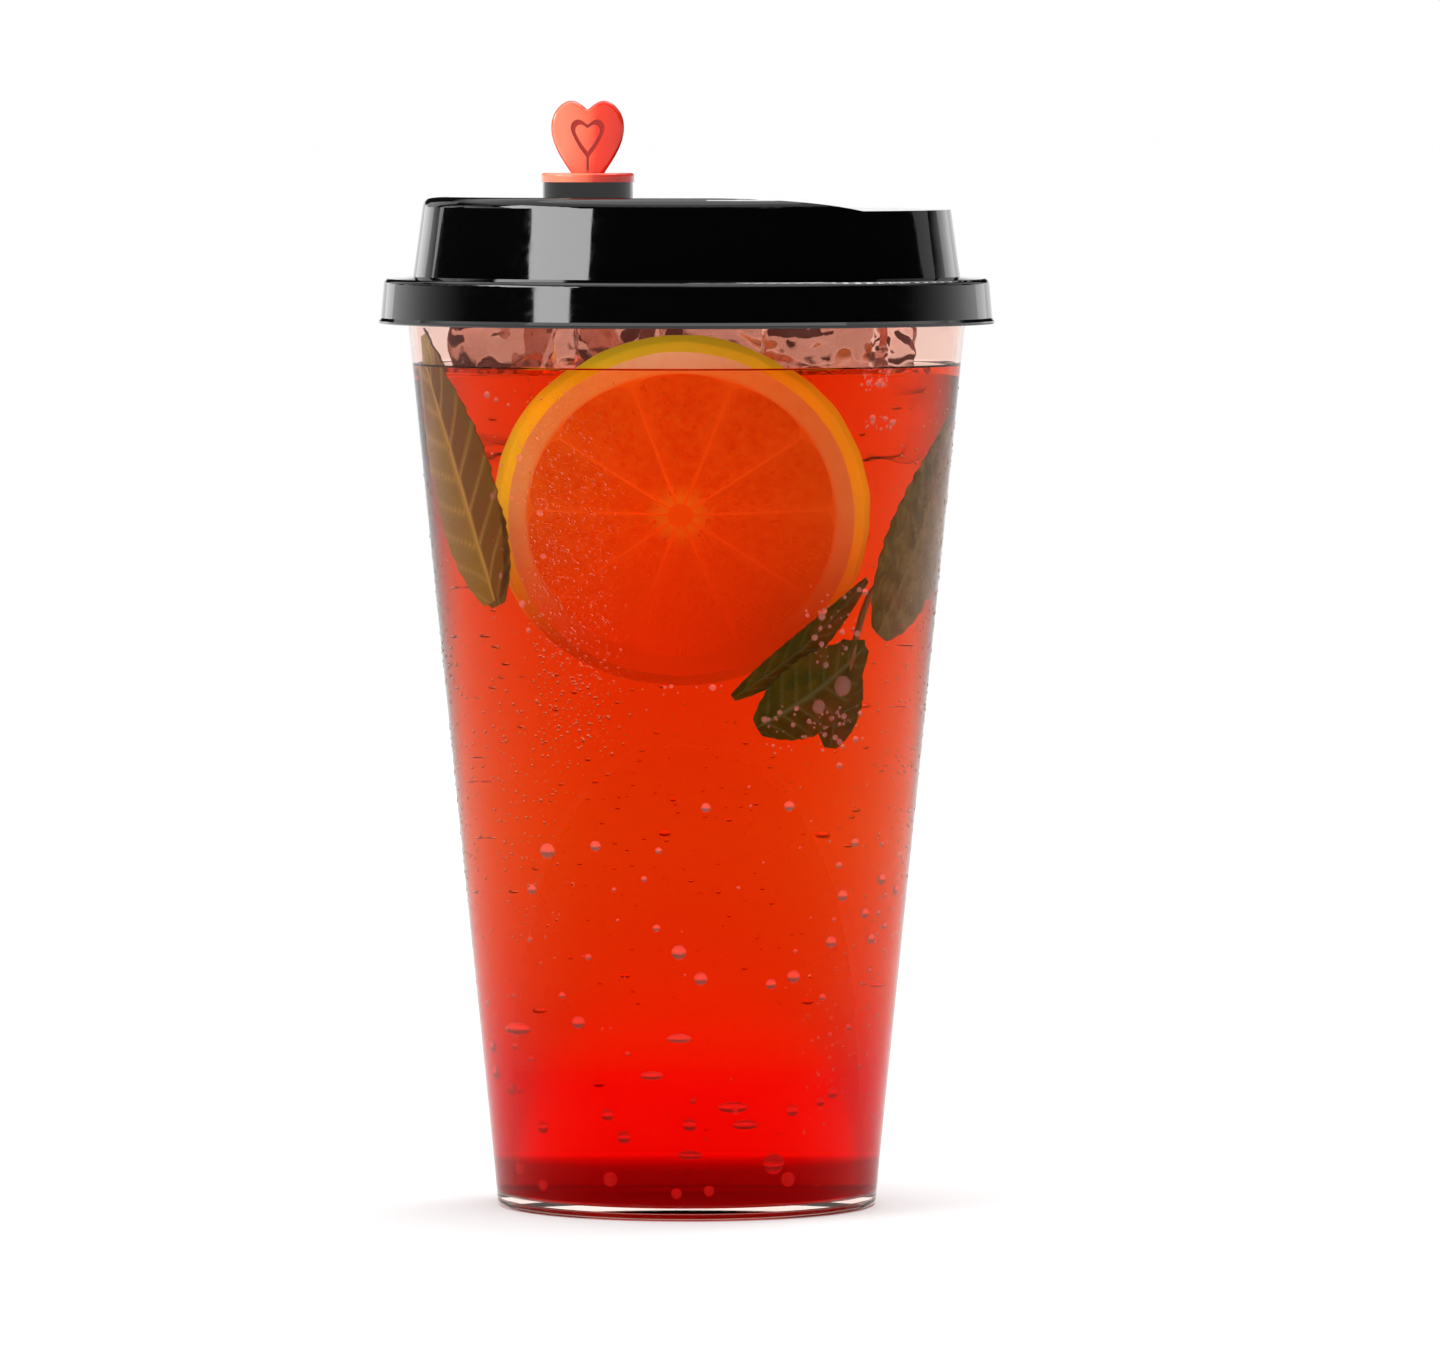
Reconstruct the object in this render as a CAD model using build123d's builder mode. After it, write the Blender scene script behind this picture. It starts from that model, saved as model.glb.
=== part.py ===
from build123d import *
from math import cos, radians, sin, sqrt, tan
import os

# A lidded takeaway cup of iced fruit drink: cup, press-on lid, heart-shaped stopper,
# the drink with its settled syrup, a citrus slice, mint and ice.
# Millimetres. +Z is up, the front is -Y, and the origin is the centre of the foot.
# An azimuth is in degrees round +Z from +X, so the front is at -90.

os.makedirs("parts", exist_ok=True)

# cup: a thin tapered tumbler with a flat rim and a raised floor
cup_height = 140.8
base_diameter = 57.9  # outside of the wall at the foot
rim_diameter = 90.0
rim_overhang = 1.85  # beyond the outside of the wall at the top of the rim
rim_depth = 2.4
cup_wall = 0.8
rim_round = 0.7
foot_width = 2.2
foot_round = 1.0
floor_rise = 1.0  # hollow under the floor
floor_thickness = 0.9

# lid: band over the rim, shoulder, dome, plug skirt inside the mouth, spout collar
lid_wall = 0.8
band_depth = 5.7  # from the top of the rim down to the lid's lip
band_draft = 0.6  # how much wider the band is at its lip
lip_height = 0.9
lip_flare = 0.25
shoulder_thickness = 1.1
shoulder_slope = 0.4
shoulder_round = 0.8
rim_clearance = 0.45  # rim to the inside of the band
skirt_clearance = 0.35  # plug skirt to the inside of the cup at its lower edge
skirt_depth = 3.6
dome_low = 10.6  # dome above the shoulder on the low side
dome_high = 12.6  # dome above the shoulder on the spout side
dome_draft = 1.7  # how much narrower the dome is at its top
dome_round = 1.8
ramp_foot = 11.7  # towards the spout, where the top begins to rise
ramp_head = 30.0  # towards the spout, where it is at full height
ramp_bulge = 0.35

# spout and stopper
spout_azimuth = -122.0
spout_distance = 28.0
spout_bore = 11.0
collar_wall = 1.3
collar_height = 2.35
stopper_fit = 0.05  # radial, bead to bore
flange_diameter = 14.0
flange_thickness = 1.35
barrel_length = 7.0  # below the flange
barrel_wall = 1.0
bead_height = 0.8
bead_size = 0.25
heart_width = 11.0
heart_height = 10.9
heart_thickness = 2.6
heart_round = 0.6
cleft_round = 0.04  # of the heart's width
small_width = 5.1  # the smaller heart grooved into each side
small_height = 5.9
small_foot = 2.15
line_width = 0.35  # groove from its tip down to the flange
line_reach = 0.3  # how far that groove runs into the other
groove_width = 0.7
groove_foot = 1.05  # how far up the groove's inside begins, at its pointed foot
groove_head = 0.77  # the same at its top
groove_depth = 0.35

# drink
fill_depth = 12.0  # surface of the drink below the top of the rim
syrup_height = 7.5  # top of the settled syrup above the foot
fill_clearance = 0.05  # liquid to the wall and floor

# citrus slice, leaning on the front wall with its sides against the mint
slice_diameter = 53.8
slice_thickness = 5.0
slice_lean = 12.0  # its top towards the front, in degrees
slice_center_x = -0.8
slice_depth = 21.8  # its centre below the surface of the drink
slice_clearance = 0.4  # its sides to the innermost layer of mint
rind_thickness = 1.7
pith_thickness = 3.9
membrane_thickness = 0.6
core_diameter = 2.6
segment_count = 10

# mint leaves follow the inside of the wall, in two layers
leaf_thickness = 0.8
leaf_gap = 0.6  # wall to the outer layer
layer_step = 1.3  # outer layer to the inner layer
leaf_fullness = 1 / 12  # of the length, its widest place below its middle
stem_diameter = 1.2

# ice
ice_round = 2.6
ice_roundest = 0.35  # of a block's narrower side
ice_edge = 0.85  # rounding of its top and bottom, of its corners
ice_clearance = 0.3  # to the back of the slice

base_radius = base_diameter / 2
rim_radius = rim_diameter / 2
mouth_radius = rim_radius - rim_overhang


def wall_outside(height):
    return base_radius + (mouth_radius - base_radius) * height / cup_height


def wall_inside(height):
    return wall_outside(height) - cup_wall


def round_corner(profile, radius, *corner):
    fillet(profile.vertices().sort_by_distance((*corner, 0))[:1], radius=radius)


def finish(piece, label):
    piece.part.label = label
    export_step(piece.part, f"parts/{label}.step")


floor_top = floor_rise + floor_thickness
fill_height = cup_height - fill_depth

# ---- cup
rim_bottom = cup_height - rim_depth
with BuildPart() as cup:
    with BuildSketch(Plane.XZ) as cup_profile:
        with BuildLine():
            Polyline(
                (0, floor_rise),
                (base_radius - foot_width, floor_rise),
                (base_radius - foot_width, 0),
                (base_radius, 0),
                (wall_outside(rim_bottom), rim_bottom),
                (rim_radius, rim_bottom),
                (rim_radius, cup_height),
                (wall_inside(cup_height), cup_height),
                (wall_inside(floor_top), floor_top),
                (0, floor_top),
                close=True,
            )
        make_face()
        round_corner(cup_profile, foot_round, base_radius, 0)
        round_corner(cup_profile, rim_round, rim_radius, rim_bottom)
        round_corner(cup_profile, rim_round, rim_radius, cup_height)
        round_corner(cup_profile, floor_thickness / 2, wall_inside(floor_top), floor_top)
    revolve()
finish(cup, "cup")

# ---- lid: a solid outer form less the space under it, both rising towards the spout
lip_bottom = cup_height - band_depth
shoulder_top = cup_height + shoulder_thickness
band_inside = rim_radius + rim_clearance
band_outside = band_inside + lid_wall
lip_outside = band_outside + band_draft
skirt_bottom = cup_height - skirt_depth
skirt_outside = wall_inside(skirt_bottom) - skirt_clearance
skirt_inside = skirt_outside - lid_wall
dome_foot = skirt_outside + shoulder_slope / 2
dome_foot_height = shoulder_top + shoulder_slope
dome_head = dome_foot - dome_draft
low_top = shoulder_top + dome_low
high_top = shoulder_top + dome_high
spout_across = Plane(
    origin=(0, 0, 0),
    x_dir=(cos(radians(spout_azimuth)), sin(radians(spout_azimuth)), 0),
    z_dir=(sin(radians(spout_azimuth)), -cos(radians(spout_azimuth)), 0),
)
spout_x = spout_distance * cos(radians(spout_azimuth))
spout_y = spout_distance * sin(radians(spout_azimuth))
bore_radius = spout_bore / 2
collar_radius = bore_radius + collar_wall
collar_top = high_top + collar_height


def above_the_top(drop):
    # what lies above the lid's top face, lowered by drop, on the side away from the spout
    middle = ((ramp_foot + ramp_head) / 2, (low_top + high_top) / 2 + ramp_bulge - drop)
    ceiling = high_top + collar_height
    with BuildSketch(spout_across) as above:
        with BuildLine():
            ThreePointArc((ramp_foot, low_top - drop), middle, (ramp_head, high_top - drop))
            Polyline(
                (ramp_head, high_top - drop),
                (ramp_head, ceiling),
                (-rim_diameter, ceiling),
                (-rim_diameter, low_top - drop),
                (ramp_foot, low_top - drop),
            )
        make_face()
    return above.sketch


with BuildPart() as lid_space:
    with BuildSketch(Plane.XZ) as space_profile:
        with BuildLine():
            Polyline(
                (0, lip_bottom - lid_wall),
                (band_inside + band_draft, lip_bottom - lid_wall),
                (band_inside + band_draft, lip_bottom),
                (band_inside, cup_height),
                (skirt_outside, cup_height),
                (skirt_outside, skirt_bottom),
                (skirt_inside, skirt_bottom),
                (dome_foot - lid_wall, dome_foot_height),
                (dome_head - lid_wall, high_top - lid_wall),
                (0, high_top - lid_wall),
                close=True,
            )
        make_face()
        round_corner(
            space_profile, dome_round - lid_wall, dome_head - lid_wall, high_top - lid_wall
        )
    revolve()
    extrude(above_the_top(lid_wall), amount=rim_diameter, both=True, mode=Mode.SUBTRACT)

with BuildPart() as lid:
    with BuildSketch(Plane.XZ) as lid_profile:
        with BuildLine():
            Polyline(
                (0, lip_bottom),
                (lip_outside + lip_flare, lip_bottom),
                (lip_outside + lip_flare, lip_bottom + lip_height / 2),
                (lip_outside - band_draft * lip_height / band_depth, lip_bottom + lip_height),
                (band_outside, shoulder_top),
                (dome_foot, dome_foot_height),
                (dome_head, high_top),
                (0, high_top),
                close=True,
            )
        make_face()
        round_corner(lid_profile, lip_flare, lip_outside + lip_flare, lip_bottom)
        round_corner(lid_profile, shoulder_round, band_outside, shoulder_top)
        round_corner(lid_profile, dome_round, dome_head, high_top)
    revolve()
    extrude(above_the_top(0), amount=rim_diameter, both=True, mode=Mode.SUBTRACT)
    add(lid_space.part, mode=Mode.SUBTRACT)
    with BuildSketch(Plane.XY.offset(low_top - lid_wall / 2)):
        with Locations((spout_x, spout_y)):
            Circle(collar_radius)
    extrude(amount=collar_top - low_top + lid_wall / 2)
    with BuildSketch(Plane.XY.offset(dome_foot_height)):
        with Locations((spout_x, spout_y)):
            Circle(bore_radius)
    extrude(amount=collar_top - dome_foot_height, mode=Mode.SUBTRACT)
finish(lid, "lid")

# ---- stopper: heart, flange, and a hollow barrel with a bead at each end of the bore
flange_radius = flange_diameter / 2
flange_top = collar_top + flange_thickness
bead_radius = bore_radius - stopper_fit
barrel_radius = bead_radius - bead_size
barrel_bottom = collar_top - barrel_length
spout_section = Plane(origin=(spout_x, spout_y, 0), x_dir=(1, 0, 0), z_dir=(0, -1, 0))
heart_foot = (spout_x, spout_y, flange_top)
heart_middle = Plane(origin=heart_foot, x_dir=(1, 0, 0), z_dir=(0, -1, 0))
heart_front = heart_middle.offset(heart_thickness / 2)
heart_back = heart_middle.offset(-heart_thickness / 2)
# (share of the half width, share of the height) up one side, from the foot to the cleft
heart_half = [
    (0.455, 0.0), (0.78, 0.26), (0.93, 0.43), (1.0, 0.635), (0.88, 0.85), (0.43, 1.0), (0.19, 0.95),
]
small_half = [
    (0.0, 0.0), (0.50, 0.30), (0.85, 0.58), (1.0, 0.80), (0.80, 0.97), (0.50, 1.0), (0.19, 0.93),
]
cleft_height = 0.865


def heart_shape(plane, half, width, height, foot):
    # one side of a heart from its foot to its cleft, and its mirror image
    side = [(x * width / 2, foot + y * height) for x, y in half]
    cleft = (0, foot + cleft_height * height)
    with BuildSketch(plane) as shape:
        with BuildLine():
            Spline(*side, cleft)
            Spline(*[(-x, y) for x, y in side], cleft)
            if side[0][0] > 0:
                Line(side[0], (-side[0][0], side[0][1]))
        make_face()
        round_corner(shape, cleft_round * width, *cleft)
    return shape.sketch


small_heart = heart_shape(heart_front, small_half, small_width, small_height, small_foot)
smallest_heart = heart_shape(
    heart_front,
    small_half,
    small_width - 2 * groove_width,
    small_height - groove_foot - groove_head,
    small_foot + groove_foot,
)
with BuildSketch(heart_front) as tip_line:
    with Locations((0, (small_foot + line_reach) / 2)):
        Rectangle(line_width, small_foot + line_reach)
front_groove = small_heart - smallest_heart + tip_line.sketch
back_groove = Pos(0, heart_thickness - groove_depth, 0) * front_groove

with BuildPart() as stopper:
    extrude(
        heart_shape(heart_back, heart_half, heart_width, heart_height, 0),
        amount=heart_thickness,
    )
    rims = stopper.faces().filter_by(Plane.XZ).edges()
    fillet(rims.filter_by(lambda rim: rim.center().Z > flange_top + heart_round), heart_round)
    extrude(front_groove, amount=-groove_depth, mode=Mode.SUBTRACT)
    extrude(back_groove, amount=-groove_depth, mode=Mode.SUBTRACT)
    with BuildSketch(spout_section) as barrel_profile:
        with BuildLine():
            Polyline(
                (0, collar_top),
                (barrel_radius - barrel_wall, collar_top),
                (barrel_radius - barrel_wall, barrel_bottom),
                (barrel_radius, barrel_bottom),
                (barrel_radius, high_top - lid_wall - bead_height),
                (bead_radius, high_top - lid_wall),
                (barrel_radius, high_top - lid_wall + bead_height),
                (barrel_radius, collar_top - bead_height),
                (bead_radius, collar_top - bead_height / 2),
                (bead_radius, collar_top),
                (flange_radius, collar_top),
                (flange_radius, flange_top),
                (0, flange_top),
                close=True,
            )
        make_face()
        round_corner(barrel_profile, flange_thickness / 3, flange_radius, flange_top)
    revolve(axis=Axis((spout_x, spout_y, 0), (0, 0, 1)))
finish(stopper, "stopper")

# ---- citrus slice: rind, pith with its membranes and core, and the flesh between them
slice_radius = slice_diameter / 2
rind_inside = slice_radius - rind_thickness
pith_inside = rind_inside - pith_thickness
core_radius = core_diameter / 2
slice_height = fill_height - slice_depth
innermost_leaf = leaf_gap + layer_step + leaf_thickness
slice_reach = wall_inside(slice_height) - innermost_leaf - slice_clearance
slice_front = sqrt(slice_reach**2 - (slice_radius + abs(slice_center_x)) ** 2)
slice_plane = Plane(
    origin=(slice_center_x, -slice_front, slice_height),
    x_dir=(1, 0, 0),
    z_dir=Vector(0, -cos(radians(slice_lean)), -sin(radians(slice_lean))),
)
membrane_length = pith_inside - core_radius / 2
membrane_middle = core_radius / 2 + membrane_length / 2

with BuildPart() as citrus_rind:
    with BuildSketch(slice_plane):
        Circle(slice_radius)
        Circle(rind_inside, mode=Mode.SUBTRACT)
    extrude(amount=-slice_thickness)
finish(citrus_rind, "citrus_rind")

with BuildSketch(slice_plane) as pith_face:
    Circle(rind_inside)
    Circle(pith_inside, mode=Mode.SUBTRACT)
    Circle(core_radius)
    with PolarLocations(membrane_middle, segment_count):
        Rectangle(membrane_length + membrane_thickness, membrane_thickness)
with BuildPart() as citrus_pith:
    extrude(pith_face.sketch, amount=-slice_thickness)
finish(citrus_pith, "citrus_pith")

with BuildSketch(slice_plane) as flesh_face:
    Circle(pith_inside)
    Circle(core_radius, mode=Mode.SUBTRACT)
    with PolarLocations(membrane_middle, segment_count):
        Rectangle(membrane_length + membrane_thickness, membrane_thickness, mode=Mode.SUBTRACT)
with BuildPart() as citrus_flesh:
    extrude(flesh_face.sketch, amount=-slice_thickness)
finish(citrus_flesh, "citrus_flesh")

# ---- ice: rounded blocks afloat in the room between the slice and the back of the cup
surface_radius = wall_inside(fill_height)
# name: (x in radii of the surface, y from the front of the room in its depths, length in
# radii, width in depths, height above the drink, height of the block in mm, turn)
ice_blocks = {
    "ice_left": (-0.67, 0.22, 0.36, 0.24, 4.4, 18.0, 12),
    "ice_right": (0.50, 0.28, 0.42, 0.24, 4.0, 18.0, -8),
    "ice_right_edge": (0.76, 0.075, 0.18, 0.11, 4.8, 9.0, 0),
    "ice_middle": (-0.24, 0.28, 0.34, 0.22, 3.4, 15.0, 5),
    "ice_rear": (0.08, 0.72, 0.46, 0.26, 3.8, 18.0, 5),
    "ice_rear_left": (-0.45, 0.68, 0.31, 0.20, 3.0, 14.0, -25),
}
ice_bottom = fill_height + min(above - tall for *_, above, tall, _ in ice_blocks.values())
slice_back = slice_thickness / cos(radians(slice_lean)) - slice_front
room_front = slice_back - (ice_bottom - slice_height) * tan(radians(slice_lean)) + ice_clearance
room_depth = surface_radius - room_front
ice_parts = []
for label, (across, back, length, width, above, tall, turn) in ice_blocks.items():
    middle = (across * surface_radius, room_front + back * room_depth, fill_height + above)
    sides = (length * surface_radius, width * room_depth)
    corner = min(ice_round, ice_roundest * min(sides))
    with BuildPart() as ice:
        with BuildSketch(Plane(origin=middle).rotated((0, 0, turn))):
            RectangleRounded(*sides, radius=corner)
        extrude(amount=-tall)
        fillet(ice.faces().filter_by(Axis.Z).edges(), radius=corner * ice_edge)
    finish(ice, label)
    ice_parts.append(ice.part)

# ---- mint: leaves that follow the inside of the wall, and their stems
# name: (azimuth, depth of its middle under the surface, length, width, lean, layer)
mint_leaves = {
    "mint_leaf_left": (211, 15.0, 43.0, 19.0, 29, 0),
    "mint_leaf_left_low": (212, 23.0, 26.0, 14.0, 20, 1),
    "mint_leaf_right": (-23, 24.3, 36.0, 20.0, -31, 0),
    "mint_leaf_right_edge": (-7, 22.0, 26.0, 14.0, -12, 1),
    "mint_leaf_narrow": (-60, 40.5, 27.0, 5.0, -53, 1),
    "mint_leaf_low": (-57, 50.5, 20.0, 11.5, -56, 0),
    "mint_leaf_low_tip": (-48, 52.0, 15.0, 9.0, -6, 1),
}
leaf_reach = rim_radius / 2  # how far in from the wall an outline is cut
leaf_parts = []
for label, (azimuth, depth, length, width, lean, layer) in mint_leaves.items():
    height = fill_height - depth
    outward = (cos(radians(azimuth)), sin(radians(azimuth)), 0)
    around = (-outward[1], outward[0], 0)
    middle = Vector(*outward) * rim_radius + Vector(0, 0, height)
    gap = leaf_gap + layer * layer_step
    widest = -leaf_fullness * length
    low = height - length
    high = min(height + length, rim_bottom)
    with BuildPart() as leaf:
        with BuildSketch(Plane(origin=middle, x_dir=around, z_dir=outward).rotated((0, 0, lean))):
            with BuildLine():
                ThreePointArc((0, -length / 2), (width / 2, widest), (0, length / 2))
                ThreePointArc((0, length / 2), (-width / 2, widest), (0, -length / 2))
            make_face()
        extrude(amount=-leaf_reach)
        with BuildSketch(Plane.XZ):
            with BuildLine():
                Polyline(
                    (wall_inside(low) - gap, low),
                    (wall_inside(high) - gap, high),
                    (wall_inside(high) - gap - leaf_thickness, high),
                    (wall_inside(low) - gap - leaf_thickness, low),
                    close=True,
                )
            make_face()
        revolve(mode=Mode.INTERSECT)
    finish(leaf, label)
    leaf_parts.append(leaf.part)

# the stem lies among the outer leaves; (azimuth, depth under the surface) of its ends
stem_ends = ((-46, 42.0), (-43, 33.0))
stem_gap = leaf_gap + leaf_thickness / 2


def beside_wall(azimuth, depth, gap):
    height = fill_height - depth
    radius = wall_inside(height) - gap
    return Vector(radius * cos(radians(azimuth)), radius * sin(radians(azimuth)), height)


stem_low, stem_high = [beside_wall(*end, stem_gap) for end in stem_ends]
with BuildPart() as mint_stem:
    with BuildSketch(Plane(origin=stem_low, z_dir=stem_high - stem_low)):
        Circle(stem_diameter / 2)
    extrude(amount=(stem_high - stem_low).length)
finish(mint_stem, "mint_stem")

# ---- drink: fills the cup round everything in it, over the settled syrup
fill_bottom = floor_top + fill_clearance
with BuildPart() as syrup_layer:
    with BuildSketch(Plane.XZ) as syrup_profile:
        with BuildLine():
            Polyline(
                (0, fill_bottom),
                (wall_inside(fill_bottom) - fill_clearance, fill_bottom),
                (wall_inside(syrup_height) - fill_clearance, syrup_height),
                (0, syrup_height),
                close=True,
            )
        make_face()
        round_corner(
            syrup_profile,
            floor_thickness / 2,
            wall_inside(fill_bottom) - fill_clearance,
            fill_bottom,
        )
    revolve()
finish(syrup_layer, "syrup_layer")

with BuildPart() as whole_slice:
    with BuildSketch(slice_plane):
        Circle(slice_radius)
    extrude(amount=-slice_thickness)

with BuildPart() as drink:
    with BuildSketch(Plane.XZ):
        with BuildLine():
            Polyline(
                (0, syrup_height),
                (wall_inside(syrup_height) - fill_clearance, syrup_height),
                (wall_inside(fill_height) - fill_clearance, fill_height),
                (0, fill_height),
                close=True,
            )
        make_face()
    revolve()
    add([whole_slice.part, *ice_parts, *leaf_parts, mint_stem.part], mode=Mode.SUBTRACT)
finish(drink, "drink")
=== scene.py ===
import math

import bmesh
import bpy
from mathutils import Matrix, Vector, noise


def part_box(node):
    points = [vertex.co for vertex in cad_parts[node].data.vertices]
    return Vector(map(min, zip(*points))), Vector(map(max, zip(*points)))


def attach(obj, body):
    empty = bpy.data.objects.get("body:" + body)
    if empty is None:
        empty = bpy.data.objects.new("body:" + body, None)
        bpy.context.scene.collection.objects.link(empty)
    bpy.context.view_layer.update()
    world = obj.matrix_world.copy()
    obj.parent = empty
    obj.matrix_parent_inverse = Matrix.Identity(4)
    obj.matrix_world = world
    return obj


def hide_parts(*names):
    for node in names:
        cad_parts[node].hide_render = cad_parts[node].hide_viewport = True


# A lidded takeaway cup of iced fruit drink, in metres. +Z is up and the front is -Y.
# An azimuth is in degrees round +Z from +X, so the front is at -90.

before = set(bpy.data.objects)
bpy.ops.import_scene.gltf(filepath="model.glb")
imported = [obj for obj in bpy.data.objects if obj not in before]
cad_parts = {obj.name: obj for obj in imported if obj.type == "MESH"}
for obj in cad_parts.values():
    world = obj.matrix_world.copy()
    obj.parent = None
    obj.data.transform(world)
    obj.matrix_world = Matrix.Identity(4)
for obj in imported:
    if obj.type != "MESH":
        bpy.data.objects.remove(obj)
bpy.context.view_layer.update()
scene = bpy.context.scene


class Val:
    # a socket that adds Math nodes when it is used in an expression
    def __init__(self, graph, socket):
        self.graph = graph
        self.socket = socket

    def math(self, operation, *others):
        values = {i: value for i, value in enumerate((self, *others))}
        return self.graph.node("ShaderNodeMath", {"operation": operation}, values)

    def __add__(self, other):
        return self.math("ADD", other)

    def __sub__(self, other):
        return self.math("SUBTRACT", other)

    def __mul__(self, other):
        return self.math("MULTIPLY", other)

    def __truediv__(self, other):
        return self.math("DIVIDE", other)

    def __rsub__(self, other):
        return self.graph.node("ShaderNodeMath", {"operation": "SUBTRACT"}, {0: other, 1: self})

    __radd__ = __add__
    __rmul__ = __mul__

    def between(self, low, high):
        # 0 below low, 1 above high
        return self.graph.node(
            "ShaderNodeMapRange", {"interpolation_type": "SMOOTHSTEP"},
            {"Value": self, "From Min": low, "From Max": high})


class Graph:
    # one method makes any node of a shader tree or a geometry tree
    def __init__(self, tree):
        self.tree = tree

    def node(self, kind, settings=None, values=None, out=0):
        made = self.tree.nodes.new(kind)
        for key, value in (settings or {}).items():
            if key == "stops":
                ramp = made.color_ramp
                while len(ramp.elements) < len(value):
                    ramp.elements.new(0.5)
                for stop, (place, color) in zip(ramp.elements, value):
                    stop.position = place
                    stop.color = (*color, 1.0)
            else:
                setattr(made, key, value)
        for key, value in (values or {}).items():
            self.put(made.inputs[key], value)
        return Val(self, made.outputs[out])

    def put(self, socket, value):
        if isinstance(value, Val):
            self.tree.links.new(value.socket, socket)
        else:
            if isinstance(value, (tuple, list)) and len(value) == 3 and socket.type == "RGBA":
                value = (*value, 1.0)
            socket.default_value = value


class Mat(Graph):
    # a material round one Principled shader
    inputNames = {
        "color": "Base Color", "roughness": "Roughness", "ior": "IOR",
        "transmission": "Transmission Weight", "subsurface": "Subsurface Weight",
        "subsurfaceRadius": "Subsurface Radius", "subsurfaceScale": "Subsurface Scale",
        "specular": "Specular IOR Level", "tint": "Specular Tint",
        "emission": "Emission Color", "emissionStrength": "Emission Strength",
        "normal": "Normal",
    }

    def __init__(self, name, **inputs):
        self.material = bpy.data.materials.new(name)
        self.material.use_nodes = True
        super().__init__(self.material.node_tree)
        self.tree.nodes.clear()
        self.output = self.tree.nodes.new("ShaderNodeOutputMaterial")
        self.shader = self.tree.nodes.new("ShaderNodeBsdfPrincipled")
        self.tree.links.new(self.shader.outputs[0], self.output.inputs["Surface"])
        self.feed(**inputs)

    def feed(self, **inputs):
        for key, value in inputs.items():
            self.put(self.shader.inputs[self.inputNames[key]], value)
        return self

    def place(self, axis=None):
        # where a point is, in the object's own coordinates
        spot = self.node("ShaderNodeTexCoord", out=3)
        if axis is None:
            return spot
        return self.node("ShaderNodeSeparateXYZ", {}, {0: spot}, out="XYZ".index(axis))

    def attribute(self, name):
        return self.node("ShaderNodeAttribute", {"attribute_name": name}, out=2)

    def noiseAt(self, scale, detail=3.0, roughness=0.5, vector=None):
        return self.node(
            "ShaderNodeTexNoise", {},
            {"Vector": vector or self.place(), "Scale": scale, "Detail": detail,
             "Roughness": roughness})

    def ramp(self, value, *stops):
        return self.node("ShaderNodeValToRGB", {"stops": stops}, {"Fac": value})

    def mix(self, factor, a, b, blend="MIX"):
        return self.node(
            "ShaderNodeMix", {"data_type": "RGBA", "blend_type": blend},
            {0: factor, 6: a, 7: b}, out=2)

    def bump(self, height, strength=0.2, distance=0.001):
        return self.feed(normal=self.node(
            "ShaderNodeBump", {}, {"Height": height, "Strength": strength, "Distance": distance}))

    def absorb(self, color, density):
        volume = self.tree.nodes.new("ShaderNodeVolumeAbsorption")
        volume.inputs["Color"].default_value = (*color, 1.0)
        volume.inputs["Density"].default_value = density
        self.tree.links.new(volume.outputs[0], self.output.inputs["Volume"])
        return self


def newPiece(name, bm, material, smooth=True, sharp=None):
    mesh = bpy.data.meshes.new(name)
    bm.to_mesh(mesh)
    bm.free()
    if smooth:
        mesh.shade_smooth()
        if sharp is not None:
            mesh.set_sharp_from_angle(angle=math.radians(sharp))
    piece = bpy.data.objects.new(name, mesh)
    scene.collection.objects.link(piece)
    mesh.materials.append(material.material)
    return piece


def wear(node, material):
    # a CAD node keeps its mesh and gets a finished material
    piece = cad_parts[node]
    piece.data.materials.clear()
    piece.data.materials.append(material.material)


def settle(piece, body, slotName, *nodes):
    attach(piece, body)
    if nodes:
        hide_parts(*nodes)
    return piece


def pieceName(node):
    # ice_left becomes iceLeft
    first, *others = node.split("_")
    return first + "".join(word.capitalize() for word in others)


def rounded(points, steps=6):
    # an outline of (radius, height) pairs, with an arc wherever a third value is given
    line = []
    for i, point in enumerate(points):
        here = Vector(point[:2])
        size = point[2] if len(point) > 2 else 0
        if not size:
            line.append(here)
            continue
        before = (Vector(points[i - 1][:2]) - here).normalized()
        after = (Vector(points[(i + 1) % len(points)][:2]) - here).normalized()
        half = before.angle(after) / 2
        reach = size / math.tan(half)
        middle = here + (before + after).normalized() * size / math.sin(half)
        start = here + before * reach - middle
        turn = start.angle_signed(here + after * reach - middle)
        for k in range(steps + 1):
            line.append(middle + Matrix.Rotation(-turn * k / steps, 2) @ start)
    return line


def braced(outline, loop):
    # points near both ends of a long straight run keep its shading straight
    points = [Vector(point) for point in outline]
    line = []
    for here, ahead in zip(points, points[1:] + points[:1] * loop):
        line.append(here)
        run = (ahead - here).length
        if run > 0.003:
            inset, steps = 0.00015 / run, max(1, round(run / 0.012))
            shares = (inset, *(k / steps for k in range(1, steps)), 1 - inset)
            line += [here.lerp(ahead, share) for share in shares]
    return line if loop else line + points[-1:]


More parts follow.
